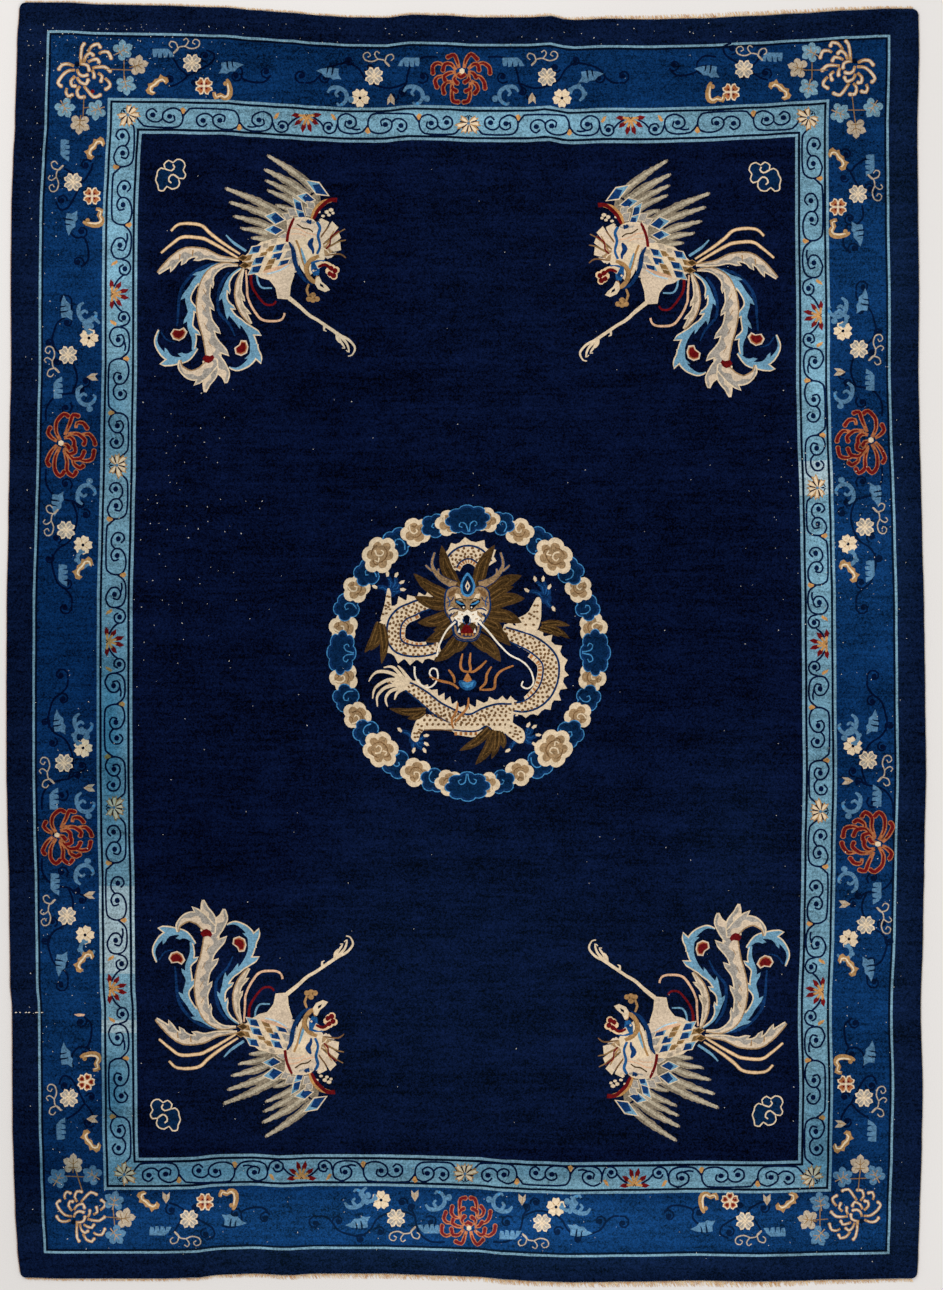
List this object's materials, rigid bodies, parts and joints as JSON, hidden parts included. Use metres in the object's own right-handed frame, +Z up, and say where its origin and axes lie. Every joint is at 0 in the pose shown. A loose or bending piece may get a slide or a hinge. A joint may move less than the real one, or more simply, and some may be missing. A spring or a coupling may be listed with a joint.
{
  "type": "chinese rug",
  "caption": "Large flat hand-knotted wool rug with a cut pile, overcast long sides and short warp ends, resting on its flat underside.",
  "frame": {"origin": "middle of the bounding box, on the floor under the rug", "axes": "+Z up out of the pile, +Y along the warps towards the end that is at the top of the picture, +X across the rug"},
  "size_m": [2.7788, 3.8806, 0.01],
  "materials": {
    "pile": "cut wool pile, dark blue",
    "selvedge": "overcast wool and cotton cord",
    "warp": "undyed cotton warp"
  },
  "bodies": {
    "root": {"rug_body": "pile", "selvedge_left": "selvedge", "selvedge_right": "selvedge", "warp_end_lower": "warp", "warp_end_upper": "warp"}
  },
  "joints": []
}
